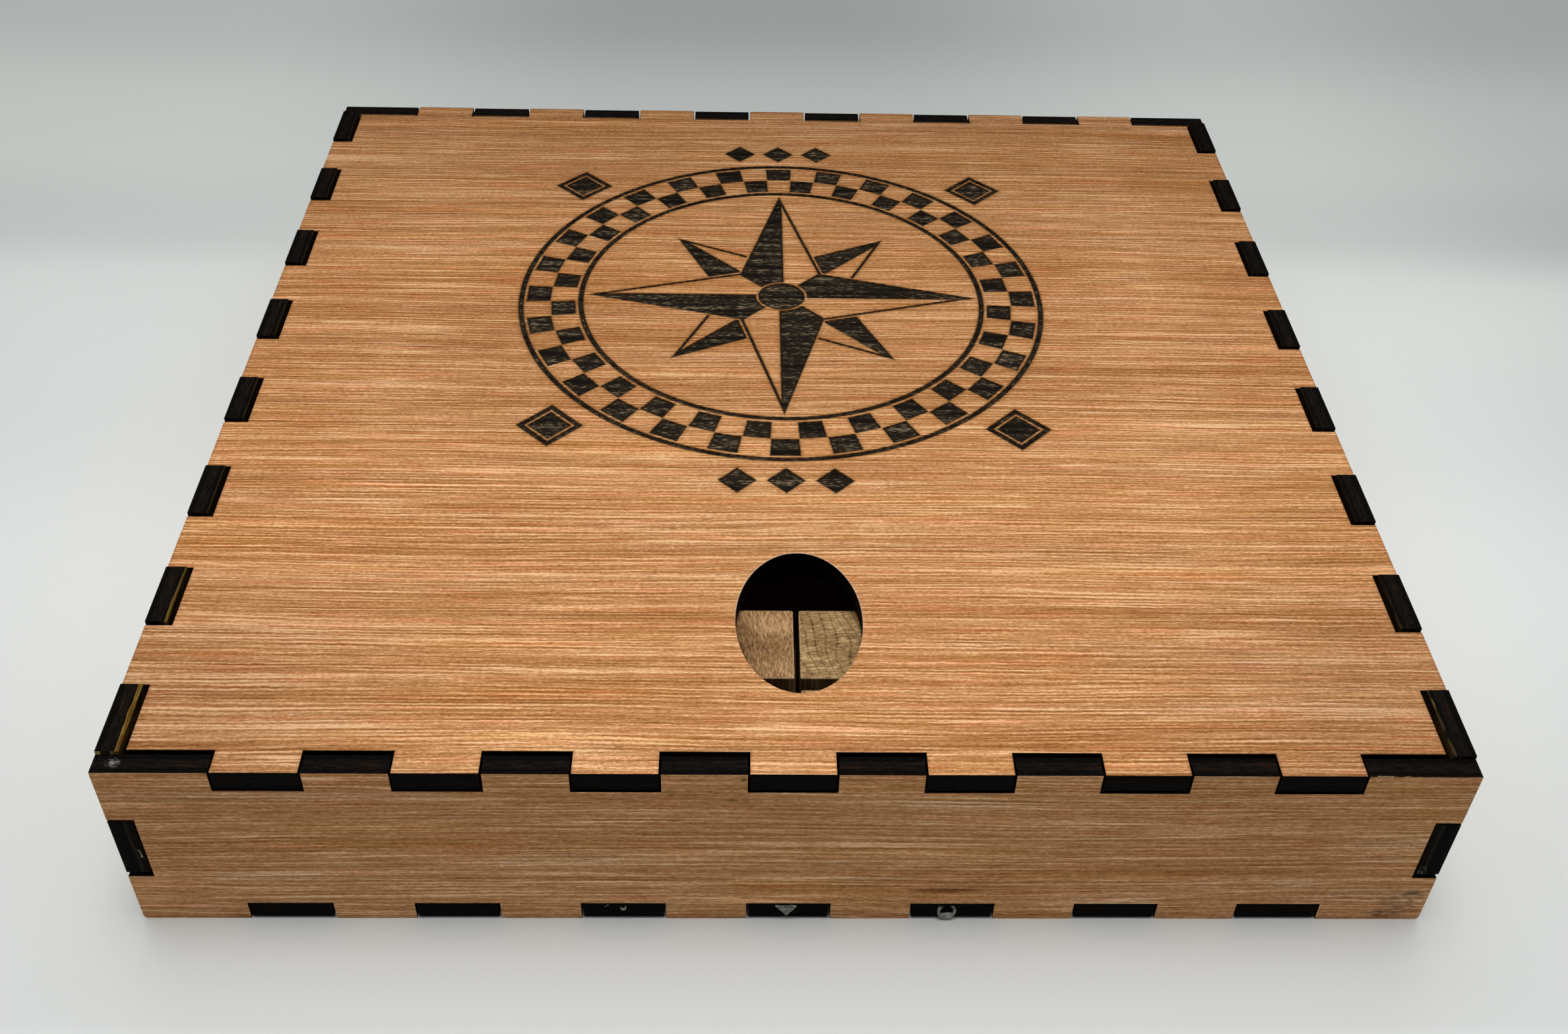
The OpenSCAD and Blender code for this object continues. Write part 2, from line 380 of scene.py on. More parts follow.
def whole(value, most):
    """The nearest whole number, held between -most and most."""
    return value.math("ROUND").math("MAXIMUM", -most).math("MINIMUM", most)


def mix(low, high, share, blend="MIX"):
    """From one colour to another by a share."""
    paint = next(value.paint for value in (share, low) if isinstance(value, Field))
    low, high = (value if isinstance(value, Field) else (*value, 1.0) for value in (low, high))
    return paint.add("ShaderNodeMix", {"data_type": "RGBA", "blend_type": blend},
                     {0: share, 6: low, 7: high}, output=2)


def multiply(colour, factors, share=1.0):
    """A colour multiplied by another one, by a share."""
    return mix(colour, factors, share, "MULTIPLY")


def dim(colour, amount):
    """A colour multiplied by a number."""
    return amount.paint.add("ShaderNodeVectorMath", {"operation": "SCALE"}, {0: colour, "Scale": amount})


def linear(*levels):
    """A colour written as screen levels from 0 to 255, in linear values."""
    shares = [level / 255 for level in levels]
    return tuple(s / 12.92 if s <= 0.04045 else ((s + 0.055) / 1.055) ** 2.4 for s in shares)


def shade_of(colour, *factors):
    """A plain colour times one factor, or times three."""
    return tuple(c * k for c, k in zip(colour, factors * 3))


# Colours of the veneer and of burnt wood, and of the painted highlight on the finger hole's back rim
VEIN, FLECK, HOLE_HIGHLIGHT = linear(142, 86, 42), linear(88, 46, 20), linear(196, 188, 184)
RUST, ASH, DEEP_CHAR = (0.030, 0.0135, 0.006), (0.034, 0.029, 0.025), (0.008, 0.006, 0.0045)
SCORCH = (0.10, 0.045, 0.016)
# Factors that tint the veneer in patches
WARMER, COOLER = (1.035, 0.975, 0.87), (0.97, 1.00, 1.09)
PINKER, YELLOWER = (1.05, 0.95, 0.93), (1.0, 1.0, 0.94)
SMOKE, BROWNED, SMOKED = (0.74, 0.70, 0.52), (0.45, 0.36, 0.28), (0.16, 0.12, 0.09)
# Painted shade on the lid's front corners and across its middle, and a painted pool of light on the middle
# of its front
CORNER_SHADE, BAND_SHADE, FRONT_POOL_LIGHT = (0.82, 0.84, 0.90), (0.93, 0.925, 0.935), (1.05, 1.06, 1.07)
# Painted shade on the base's inner face, and painted shade on cut edges that face the front or the back
INSIDE_SHADE, FRONT_CUT_SHADE = (0.45, 0.38, 0.34), (0.35, 0.33, 0.30)
# The first darkens the walls towards the bottom in patches; the second is a dark streak on the front
LOW_DARKENING, STREAK = (0.60, 0.58, 0.55), (0.38, 0.28, 0.21)
# The veneer's own colours, from its darkest streaks to its palest
VENEER_STOPS = (
    (0.00, linear(148, 94, 50)),
    (0.06, linear(163, 108, 62)),
    (0.25, linear(177, 122, 74)),
    (0.40, linear(188, 133, 85)),
    (0.50, linear(197, 142, 94)),
    (0.60, linear(206, 151, 104)),
    (0.75, linear(220, 166, 119)),
    (0.90, linear(234, 182, 135)),
    (1.00, linear(246, 200, 156)),
)


def veneer(along, across, depth, look, tint, comb_share, pale_share, contrast):
    """Colour and surface height of rotary-cut veneer whose fibres run along one direction."""
    drift = noise(along / 150, across / 45, depth / 9) * 1.1 + noise(along / 38, across / 9, depth) * 0.16
    row = across + drift + noise(along / 7, across / 2.5, depth + 5) * 0.07
    row = row + noise(along / 2.6, across / 1.3, depth + 9) * 0.05
    fine = noise(along / (look.streak_length / MM), row / (look.streak_pitch / MM), depth / 3,
                 detail=2.0, roughness=0.9)
    broad = noise(along / 200, row / 7, depth / 5 + 3, detail=1.0, roughness=0.7)
    short = noise(along / 9, row / 0.62, depth + 17, detail=2.0, roughness=0.8)
    fuzz = noise(along / 1.3, row / 0.42, depth + 27, detail=1.0, roughness=0.85)
    fade = noise(along / 28, row / 3, depth + 51) * 0.35 + 0.75
    pale = rise(abs(noise(along / 110, row / 1.7, depth + 21, detail=1.0, roughness=0.35)), 0.26, 0.02)
    comb_pitch = 1.12
    comb = (row * (2 * math.pi / comb_pitch) + noise(along / 70, row / 5, depth + 71) * 2.6).math("SINE")
    comb_fade = rise(noise(along / 24, row / 2.6, depth + 81), -1.1, 0.6)
    tone = (fine * 0.52 + broad * 0.22 + short * 0.44 + fuzz * 0.44 + pale * fade * pale_share
            + comb * comb_fade * comb_share)
    level = clamp(tone * (0.60 * look.contrast * contrast) + 0.42)
    colour = level.paint.add("ShaderNodeValToRGB", {"stops": VENEER_STOPS}, {"Fac": level})
    warmth = noise(along / 130, row / 4.5, depth / 4 + 11, detail=1.0)
    colour = multiply(colour, WARMER, rise(warmth, 0.0, 1.2))
    colour = multiply(colour, COOLER, rise(warmth, 0.0, -1.2))
    blush = noise(along / 24, row / 1.7, depth / 4 + 61)
    colour = multiply(colour, PINKER, rise(blush, 0.1, 1.0))
    colour = multiply(colour, YELLOWER, rise(blush, -0.1, -1.0))
    vein = rise(noise(along / 30, row / 0.85, depth + 31), 0.80, 1.35)
    colour = mix(colour, VEIN, vein * 0.5)
    fleck = rise(noise(along / 4.5, row / 0.5, depth + 41), 1.25, 1.6)
    colour = mix(colour, FLECK, fleck * 0.8)
    colour = multiply(colour, tint)
    height = fine * 0.018 + short * 0.012 + fuzz * 0.010 + pale * 0.01 - fleck * 0.05 - vein * 0.02
    return colour, height


def plies(along, depth, burnt):
    """Colour and height of a charred edge. Depth runs from 0 to the plywood's thickness."""
    level = depth + noise(along / 14, depth / 3, 5.0) * 0.15
    core = rise(level, 1.05, 1.40) * rise(level, PLY - 1.15, PLY - 1.50)
    fibres = noise(along / 7, depth / 0.22, 1.0, detail=1.0)
    char = noise(along / 3.2, depth / 0.8, 9.0, detail=2.0)
    colour = mix(burnt.edge, burnt.core, core * rise(char, -1.1, 0.7))
    rust = core * rise(noise(along / 9, depth / 1.2, 19.0) + fibres * 0.4, 0.35, 1.3)
    colour = mix(colour, RUST, rust * 0.55)
    crumbs = noise(along / 1.1, depth / 0.45, 29.0, detail=2.0, roughness=0.7)
    ash = rise(crumbs + char * 0.35 + fibres * 0.2, 0.10, 1.5)
    colour = mix(colour, ASH, ash * 0.60)
    seams = rise(abs(level - 1.22), 0.16, 0.0) + rise(abs(level - (PLY - 1.32)), 0.16, 0.0)
    height = fibres * 0.03 + char * 0.05 + crumbs * 0.03 - seams * 0.09
    return colour, height


def quarter(turn, offset=0.0):
    """An angle brought to within an eighth of a turn of the nearest of four directions."""
    return (turn - offset).math("WRAP", math.pi / 4, -math.pi / 4)


def star(radius, angle, tip, side, line):
    """Distances to a four-pointed star's outline, and to its burnt halves, below 0 inside."""
    x, y = radius * angle.math("COSINE"), radius * angle.math("SINE")
    slant = side * math.sqrt(0.5)
    size = math.hypot(slant, tip - slant)
    outline = x * (slant / size) + abs(y) * ((tip - slant) / size) - tip * slant / size
    bare = highest(y + line / 2, outline + line / 2, line / 2 - (x + y) * math.sqrt(0.5))
    return outline, highest(outline, -bare)


def lozenge_distance(x, y, half):
    """Distance to the outline of a square on its corner, given half its diagonal. Below 0 inside."""
    return (abs(x) + abs(y) - half) * math.sqrt(0.5)


def rosette_distance(paint, sizes):
    """Distance in millimetres to the rosette's burnt shapes, below 0 inside them."""
    radius, line, bare, check = (v / MM for v in (sizes.radius, sizes.line, sizes.bare, sizes.check))
    x, y = paint.x, paint.y - (CAD_BOX[1].y - sizes.from_back) / MM
    r = length(x, y)
    turn = y.math("ARCTAN2", x)
    ring_out = radius - line - bare
    ring_in = ring_out - 2 * check
    shapes = [abs(r - edge + line / 2) - line / 2 for edge in (radius, ring_in - bare)]
    half_step = math.pi / sizes.checks
    for row in (0, 1):
        angle = (turn - row * half_step).math("WRAP", half_step, -half_step)
        out, side = r * angle.math("COSINE"), abs(r * angle.math("SINE"))
        middle = ring_out - (row + 0.5) * check
        ends = abs(out - middle) - (check / 2 - bare / 4)
        sides = (side - out * math.tan(half_step / 2) + bare / 4) * math.cos(half_step / 2)
        shapes.append(highest(ends, sides))
    field = ring_in - bare - line
    tip = field - 2 * bare
    side, hub = tip * STAR_SIDE, tip * STAR_HUB
    front_outline, front = star(r, quarter(turn), tip, side, line)
    back = star(r, quarter(turn, math.pi / 4), tip * BACK_STAR, side, line)[1]
    shapes += [highest(front, hub + bare - r), r - hub, highest(back, bare - front_outline)]
    corner = (radius + CORNER_LOZENGE + LOZENGE_GAP) * math.sqrt(0.5)
    rim_x, rim_y = abs(x) - corner, abs(y) - corner
    rim = lozenge_distance(rim_x, rim_y, CORNER_LOZENGE)
    shapes.append(highest(rim, -rim - line))
    shapes.append(lozenge_distance(rim_x, rim_y, CORNER_LOZENGE - (line + bare) * math.sqrt(2)))
    step = 2 * SIDE_LOZENGE + LOZENGE_GAP
    column = whole(x / step, 1.0)
    from_column, row = x - column * step, abs(y) - (radius + SIDE_LOZENGE + LOZENGE_GAP)
    shapes.append(lozenge_distance(from_column, row, SIDE_LOZENGE))
    return lowest(*shapes)


def board_distance(paint, sizes, line, bare):
    """Distance in millimetres to the playing board's burnt shapes, below 0 inside them."""
    half = INNER / 2 - sizes.margin / MM
    square = (2 * half - 2 * line - 2 * sizes.frame_gap / MM) / BOARD_ROWS
    out = highest(abs(paint.x), abs(paint.y)) - half
    rim = highest(out, -out - line)
    cells, offsets = [], []
    for place in (paint.x, paint.y):
        cell = (place / square).math("FLOOR")
        cells.append(cell)
        offsets.append(abs(place - (cell + 0.5) * square))
    in_square = highest(*offsets) - (square / 2 - bare / 4)
    odd = (cells[0] + cells[1]).math("FLOORED_MODULO", 2.0)
    outside = highest(abs(paint.x), abs(paint.y)) - BOARD_ROWS / 2 * square
    return lowest(rim, highest(in_square + (1 - odd) * 40, outside))


def panel_distance(paint, play):
    """Distance in millimetres to the outline of the lid or the base, below 0 inside."""
    out = highest(abs(paint.x), abs(paint.y)) - (INNER / 2 - play)
    reach = LID_HIGH.x
    for place, other in ((paint.x, paint.y), (paint.y, paint.x)):
        finger = whole(place / (2 * PITCH), SIDE_FINGERS // 2)
        across = abs(place - finger * (2 * PITCH)) - (PITCH - FINGER_PLAY) / 2
        out = lowest(out, highest(across, abs(other) - reach))
    return out


def paint_hole_highlight(paint, colour):
    """A painted highlight along the back rim of the finger hole."""
    x, y = paint.x - HOLE_MIDDLE[0], paint.y - HOLE_MIDDLE[1]
    across, back = x / HOLE_HALF[0], y / HOLE_HALF[1]
    out = length(across, back)
    slope = ((across / HOLE_HALF[0]) ** 2 + (back / HOLE_HALF[1]) ** 2).math("SQRT")
    distance = (out - 1) * out / slope
    uneven = noise(paint.x / 3, paint.y / 3, 7.0, detail=2.0)
    rim = rise(distance + uneven * 0.08, 0.36, 0.10) * rise(y, -10.0, 10.0)
    return mix(colour, HOLE_HIGHLIGHT, rim * rise(uneven, -1.2, 0.6) * 0.6)


def burn(colour, height, distance, grain_x, grain_y, depth, burnt):
    """Burns shapes into the veneer: a charred floor with bare fibres, a darker rim and a smoke halo."""
    ragged = distance + noise(grain_x / 1.6, grain_y / 0.5, depth + 3) * 0.10
    smoke = noise(grain_x / 9, grain_y / 3, depth + 13, detail=1.0)
    reach = burnt.halo / MM
    halo = rise(ragged + smoke * 0.5, reach * 1.6, -0.2)
    colour = multiply(colour, SMOKE, halo * halo * 0.65)
    scorch = rise(ragged, 0.55, 0.0)
    colour = mix(colour, SCORCH, scorch * 0.75)
    inside = rise(ragged, 0.08, -0.10)
    dashes = noise(grain_x / 1.9, grain_y / 0.34, depth + 23, detail=1.0, roughness=0.6)
    bands = noise(grain_x / 26, grain_y / 1.8, depth + 33)
    char = mix(burnt.pattern, DEEP_CHAR, rise(bands + dashes * 0.5, 0.2, -1.2))
    bare = rise(dashes + bands * 0.45, 0.25, 1.20) * rise(distance, -0.25, -0.80)
    char = mix(char, burnt.fibre, bare * 0.9)
    colour = mix(colour, char, inside)
    height = height * (1 - inside) + dashes * inside * 0.06
    return colour, height, inside


def dress(node, material):
    """Gives a CAD node its material."""
    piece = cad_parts[node]
    if not piece.material_slots:
        piece.data.materials.append(material)
    for slot in piece.material_slots:
        slot.material = material


# Modelling

def model_only(piece):
    """Makes one object the only selected and active one."""
    if bpy.context.object and bpy.context.object.mode != "OBJECT":
        bpy.ops.object.mode_set(mode="OBJECT")
    bpy.ops.object.select_all(action="DESELECT")
    piece.select_set(True)
    bpy.context.view_layer.objects.active = piece


def copy_of(node, name):
    """A merged copy of a CAD node's mesh as a new object."""
    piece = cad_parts[node].copy()
    piece.data = piece.data.copy()
    for key in list(piece.keys()):
        del piece[key]
    piece.parent = None
    piece.name = piece.data.name = name
    bpy.context.scene.collection.objects.link(piece)
    piece.hide_render = piece.hide_viewport = False
    model_only(piece)
    bpy.ops.object.mode_set(mode="EDIT")
    bpy.ops.mesh.select_all(action="SELECT")
    bpy.ops.mesh.remove_doubles(threshold=0.002 * MM)
    bpy.ops.mesh.dissolve_limited(angle_limit=math.radians(1))
    bpy.ops.mesh.select_all(action="DESELECT")
    bpy.ops.object.mode_set(mode="OBJECT")
    return piece


def pick_edges(piece, test):
    """Selects the edges whose two ends pass a test, and gives their number. The piece is in edit mode."""
    bpy.ops.mesh.select_all(action="DESELECT")
    bpy.ops.mesh.select_mode(type="EDGE")
    shape = bmesh.from_edit_mesh(piece.data)
    count = 0
    for edge in shape.edges:
        if test(*(corner.co / MM for corner in edge.verts)):
            edge.select_set(True)
            count += 1
    bmesh.update_edit_mesh(piece.data)
    return count


def finish_piece(piece, material, nodes=()):
    """Smooths a piece, gives it its material and ties it to the box's own body."""
    model_only(piece)
    bpy.ops.object.transform_apply(location=True, rotation=True, scale=True)
    bpy.ops.object.shade_smooth_by_angle(angle=math.radians(35))
    piece.data.materials.clear()
    piece.data.materials.append(material)
    if nodes:
        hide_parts(*nodes)
    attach(piece, "root")


# Panels

def paint_panel(name, settings, distance, low, high):
    """Plywood that lies flat, with a pattern burnt into the lid's top or the base's underside."""
    look, burnt = settings.veneer, settings.burnt
    paint = Paint(name)
    x, y, z = paint.x, paint.y, paint.z
    is_lid = name.startswith("Lid")
    face_z, outwards = (high, 1) if is_lid else (low, -1)
    colour, height = veneer(x, y, z, look, tuple(look.tint), comb_share=0.38, pale_share=0.60, contrast=1.20)
    edge_gap = panel_distance(paint, 1.2 if is_lid else 0.0)
    browning_and_shade = rise(edge_gap + noise(x / 5, y / 5, z) * 0.12, -1.1, 0.0)
    colour = multiply(colour, BROWNED, browning_and_shade * browning_and_shade * 0.35)
    if is_lid:
        # Painted shade on the front corners and across the middle, and a painted pool of light on the
        # front's middle
        shaded_corners = rise(abs(x), 65.0, 140.0) * rise(y, -75.0, -125.0)
        colour = multiply(colour, CORNER_SHADE, shaded_corners)
        colour = multiply(colour, BAND_SHADE, rise(abs(y), 42.0, 8.0))
        painted_front_light = rise(abs(x), 105.0, 45.0) * rise(y, -86.0, -108.0)
        colour = multiply(colour, FRONT_POOL_LIGHT, painted_front_light)
        # Painted highlight on the finger hole's back rim
        colour = paint_hole_highlight(paint, colour)
    else:
        smoked = rise(edge_gap + noise(x / 7, y / 4, z) * 0.5, -3.2, -0.6)
        colour = multiply(colour, SMOKED, smoked * 0.9)
        # Painted shade on the base's inner face
        colour = multiply(colour, INSIDE_SHADE, rise(z, high - 0.3, high - 0.1))
    on_face = (z - face_z) * outwards
    near_face = rise(on_face, -0.5, -0.35)
    pattern = distance(paint) + (1 - near_face) * 50
    colour, height, inside = burn(colour, height, pattern, x, y, z, burnt)
    _, facing_front, up = paint.normal()
    edge = rise(abs(up), 0.6, 0.4)
    in_recess = near_face * (on_face < -0.02) * (pattern < 0.7)
    cut_colour, cut_height = plies(x + y, z - low, burnt)
    # Painted shade on cut edges that face the front or the back
    cut_colour = multiply(cut_colour, FRONT_CUT_SHADE, rise(abs(facing_front), 0.6, 0.8))
    colour = mix(colour, cut_colour, edge * (1 - in_recess * rise(on_face, -0.5, -0.4)))
    height = height * (1 - edge) + cut_height * edge
    return paint.finish(colour, 0.56 + inside * 0.25 + edge * 0.12, height, WOOD_SHINE)


class CHESSBOX_OT_lid(bpy.types.Operator):
    """Dresses the lid in veneer with charred edges and a burnt rosette"""

    bl_idname = "chessbox.lid"
    bl_label = "Lid"

    def execute(self, context):
        settings = context.scene.chess_box
        dress("lid_panel", paint_panel(
            "Lid plywood", settings, lambda paint: rosette_distance(paint, settings.rosette),
            LID_LOW.z, LID_HIGH.z))
        return {"FINISHED"}


class CHESSBOX_OT_base(bpy.types.Operator):
    """Dresses the base, whose underside carries the burnt playing board"""

    bl_idname = "chessbox.base"
    bl_label = "Base"

    def execute(self, context):
        settings = context.scene.chess_box
        line, bare = settings.rosette.line / MM, settings.rosette.bare / MM
        dress("base_panel", paint_panel(
            "Base plywood", settings, lambda paint: board_distance(paint, settings.board, line, bare),
            BASE_LOW.z, BASE_HIGH.z))
        return {"FINISHED"}


# Marks on the front: middle in x and z, half width and half height or reach, and strength
GREY_SMEARS = (
    ((145.8, 5.5), (6.5, 6.5), 0.55),
    ((148.6, 10.4), (2.8, 1.5), 1.0),
    ((142.5, 2.2), (4.5, 1.6), 0.8),
)
GLUE_STAINS = (((-10.9, 51.2), 0.9, 0.9), ((-27.4, 46.6), 1.6, 0.35))
DARK_STREAK = ((37.0, 11.2), (11.5, 0.95))
# On its upper edge: middle in x and from the inner face, and half sizes
PALE_SMUDGE = ((-147.9, 2.4), (1.8, 1.4))

# Colours of marks and rims
GREY_SMEAR, SMUDGE, CHIPS = (0.070, 0.060, 0.052), (0.27, 0.26, 0.255), (0.44, 0.31, 0.17)
# The first and the last are painted shade: on the side walls' inner faces beside the lid, and in their
# joints
RIM_SHADE, GLUED_RIM, JOINT_SHADE = (0.007, 0.005, 0.0035), (0.062, 0.034, 0.006), (0.010, 0.0065, 0.004)
# The last is a painted highlight on the glue along the side walls' tops
BROWN_GLUE, OLIVE_GLUE, GLUE_HIGHLIGHT = (0.10, 0.042, 0.006), (0.040, 0.026, 0.012), (0.40, 0.28, 0.07)
YELLOWED_END, PALE_END = (0.34, 0.25, 0.045), (0.80, 0.66, 0.22)
BROWN_SOOT, BLACK_BAND = (0.022, 0.017, 0.012), (0.0010, 0.0008, 0.0007)
STRING, MILKY_SMEAR = (0.40, 0.33, 0.20), (0.21, 0.215, 0.20)


class CHESSBOX_OT_walls(bpy.types.Operator):
    """Dresses the four walls in browner veneer with charred finger joints"""

    bl_idname = "chessbox.walls"
    bl_label = "Walls"

    def execute(self, context):
        settings = context.scene.chess_box
        for name, thickness in (("Long wall plywood", "Y"), ("Side wall plywood", "X")):
            material = self.paint_wall(name, thickness, settings)
            for node, axis in WALLS.items():
                if axis == thickness:
                    dress(node, material)
        return {"FINISHED"}

    def paint_wall(self, name, thickness, settings):
        """Plywood that stands up, with its thickness along one axis."""
        look, burnt = settings.veneer, settings.burnt
        paint = Paint(name)
        is_long = thickness == "Y"
        along, depth = (paint.x, paint.y) if is_long else (paint.y, paint.x)
        z = paint.z
        colour, height = veneer(along + 40, z + 300, depth, look, tuple(look.wall_tint),
                                comb_share=0.24, pale_share=0.75, contrast=1.0)
        # Darker towards the bottom, in patches
        low_side = rise(z, 2.2, 0.0)
        low_patches = noise(along / 22, z / 6, depth / 9, detail=2.0)
        colour = multiply(colour, LOW_DARKENING, low_side * rise(low_patches, -0.6, 0.9) * 0.7)
        normals = paint.normal()
        edge = rise(abs(normals[1 if is_long else 0]), 0.6, 0.4)
        from_inside = abs(depth) - INNER / 2
        cut_colour, cut_height = plies(along + z, from_inside, burnt)
        if is_long:
            colour = self.stain_front(paint, colour, burnt.glue_line)
            cut_colour = self.mark_front_top(paint, cut_colour, from_inside)
        else:
            colour = self.darken_inside(paint, colour, from_inside)
            cut_colour = self.glue_line(paint, cut_colour, from_inside, burnt.glue_line)
            cut_colour = self.bare_end(paint, cut_colour, normals[1], from_inside)
            cut_colour = self.blacken_ends(paint, cut_colour, normals[1], from_inside)
            cut_colour = self.glue_strings(paint, cut_colour, normals[1])
        colour = mix(colour, cut_colour, edge)
        height = height * (1 - edge) + cut_height * edge
        return paint.finish(colour, 0.62 + edge * 0.1, height, WOOD_SHINE)

    def stain_front(self, paint, colour, old_glue):
        """Grey smears low on the front's right corner, a dark streak, and two glue stains on the rim."""
        on_front = rise(paint.y, 0.0, -1.0)
        streaks = noise(paint.x / 2.2, paint.z / 0.8, 2.0, detail=2.0)
        for middle, half, strength in GREY_SMEARS:
            spot = rise(oval(paint.x, paint.z, middle, half) - streaks * 0.25, 1.05, 0.25)
            smear = spot * rise(streaks, -0.9, 0.7) * on_front
            colour = mix(colour, GREY_SMEAR, smear * strength)
        streak = rise(oval(paint.x, paint.z, *DARK_STREAK) + streaks * 0.1, 1.0, 0.45)
        colour = multiply(colour, STREAK, streak * on_front * 0.9)
        for (middle_x, middle_z), reach, strength in GLUE_STAINS:
            x, z = paint.x - middle_x, paint.z - middle_z
            uneven = noise(paint.x / 0.8, paint.z / 0.8, 6.0) * 0.3
            stain = rise(length(x, z) + uneven, reach, reach * 0.4)
            colour = mix(colour, old_glue, stain * on_front * strength)
        return colour

    def mark_front_top(self, paint, colour, from_inside):
        """A pale smudge at the front's left end, and chips along the rim near its right end."""
        on_top = rise(paint.y, 0.0, -1.0) * rise(paint.z, 50.0, 51.0)
        place = oval(paint.x, from_inside, *PALE_SMUDGE)
        cloud = noise(paint.x / 1.1, paint.y / 0.7, 8.0, detail=2.0)
        smudge = rise(place - cloud * 0.35, 1.1, 0.2)
        colour = mix(colour, SMUDGE, smudge * on_top * rise(cloud, -0.9, 0.8) * 0.75)
        near = rise(abs(paint.x - 127), 11.0, 6.0)
        chips = rise(noise(paint.x / 1.6, 0.5, 12.0, detail=1.0), -0.1, 0.5)
        rim = rise(from_inside, PLY - 0.32, PLY - 0.18)
        return mix(colour, CHIPS, chips * near * rim * on_top * 0.8)

    def nearness(self, paint):
        """1 at the front corners, falling to 0 along the side walls' first segments."""
        return rise(paint.y, -60.0, -138.0)

    def darken_inside(self, paint, colour, from_inside):
        """The side walls' inner faces: painted shade along their tops beside the lid, old glue near the
        front, and painted shade in the joints.
        """
        # Painted shade beside the lid, turning to the colour of old glue near the front
        rim = rise(from_inside, 0.3, 0.1) * rise(paint.z, LID_LOW.z - 3, LID_LOW.z)
        old_glue = self.nearness(paint) * rise(noise(paint.y / 9, paint.z / 2, 3.0), -1.0, 0.6)
        colour = mix(colour, mix(RIM_SHADE, GLUED_RIM, old_glue), rim * 0.97)
        # Painted shade in the joints
        in_joint = rise(abs(paint.y), INNER / 2 - 0.6, INNER / 2 + 0.1) * rise(from_inside, 0.5, 0.3)
        return mix(colour, JOINT_SHADE, in_joint * 0.95)

    def glue_line(self, paint, colour, from_inside, old_glue):
        """A mustard rim along the inner edge of the side walls' tops, strongest at the front left corner,
        with painted highlights on it.
        """
        near = self.nearness(paint)
        left = rise(paint.x, 60.0, -60.0)
        waver = noise(paint.y / 6, paint.x / 40, 3.0, detail=1.0)
        width = 0.28 + near * (left * 0.45 + 0.30) + waver * (near * 0.22 + 0.06)
        rim = rise(from_inside - width, 0.14, -0.10) * rise(paint.z, 40.0, 45.0)
        gaps = clamp(rise(noise(paint.y / 4.5, paint.x / 40, 13.0), -0.5, 0.5) + left)
        strength = near * gaps * 0.92 + 0.10
        # Painted highlights: glints, and a thread along one side on the left
        glints = rise(noise(paint.y / 3.5, from_inside / 0.5, 23.0), 0.1, 1.1)
        patches = noise(paint.y / 5, from_inside / 0.5, 33.0) - rise(paint.y, -118.0, -142.0)
        amber = mix(old_glue, BROWN_GLUE, rise(patches, 0.3, -0.9))
        line = mix(OLIVE_GLUE, amber, left)
        highlight_thread = rise(abs(from_inside - width + 0.16), 0.16, 0.05)
        line = mix(line, GLUE_HIGHLIGHT, clamp(glints * 0.35 + highlight_thread * 0.35 * left))
        return mix(colour, line, rim * strength)

    def bare_end(self, paint, colour, facing, from_inside):
        """The pale raised end of the left wall at the front corner."""
        end = rise(-facing, 0.5, 0.8) * rise(paint.z, FRONT_HIGH.z - 0.1, FRONT_HIGH.z)
        place = rise(paint.x, 0.0, -1.0) * rise(paint.y, -140.0, -145.0)
        outer = rise(from_inside + noise(paint.x / 2, paint.z / 1.5, 3.0) * 0.3, 0.8, 1.5)
        grain = noise(paint.x / 1.6, paint.z / 0.4, 5.0, detail=1.0)
        return mix(colour, mix(YELLOWED_END, PALE_END, rise(grain, -0.8, 0.7)), end * place * outer)

    def blacken_ends(self, paint, colour, facing, from_inside):
        """The side walls' end grain: a black band along the middle plies, brown soot beside it."""
        end = rise(abs(facing), 0.5, 0.8)
        level = from_inside + noise(paint.z / 6, paint.x / 3, 35.0) * 0.2
        band = rise(level, 1.7, 2.1) * rise(level, 4.0, 3.7)
        soot = rise(level, 0.9, 1.2) * rise(level, 2.0, 1.7)
        colour = mix(colour, BROWN_SOOT, soot * end * 0.6)
        return mix(colour, BLACK_BAND, band * end * 0.95)

    def glue_strings(self, paint, colour, facing):
        """A thin glue string in the left notch end at the front, and a smear of glue in the right one."""
        front = rise(-facing, 0.5, 0.8)
        sway = noise(paint.x / 1.5, paint.z / 2.0, 15.0) * 0.5
        x, z = paint.x + 147.8 + sway, paint.z - 24.6
        string = rise(abs(x), 0.22, 0.08) * rise(abs(z), 1.6, 1.2)
        colour = mix(colour, STRING, string * front * 0.85)
        x, z = paint.x - 148.2 + sway * 0.4, paint.z - 18.2
        patch = rise(((x / 1.5) ** 2 + (z / 3.4) ** 2).math("SQRT"), 1.0, 0.35)
        streaks = rise(noise(x / 0.35 + z / 4, z / 1.8, 25.0, detail=1.0), -0.1, 0.9)
        return mix(colour, MILKY_SMEAR, patch * streaks * front * 0.9)


# Men

# Factors for the two kinds of end grain, for stains, and for sides that are browned and darkened by painted
# shade, and the colour of the signs
PLAIN_GRAIN, RINGED_GRAIN = (0.86, 0.77, 0.70), (0.97, 0.97, 0.90)
STAIN, BROWNED_AND_SHADED_SIDE, SIGN = (0.72, 0.46, 0.36), (0.020, 0.011, 0.008), (0.022, 0.015, 0.010)


def man_column(paint):
    """Numbers that tell the men apart by their places."""
    low, high = box_mm("light_rook_1")
    pitch = box_mm("light_knight_1")[0].x - low.x
    column = ((paint.x - low.x + 0.5) / pitch).math("FLOOR")
    row = (abs(paint.y) > -high.y - 1) + (paint.y > 0.0) * 2
    return column, row


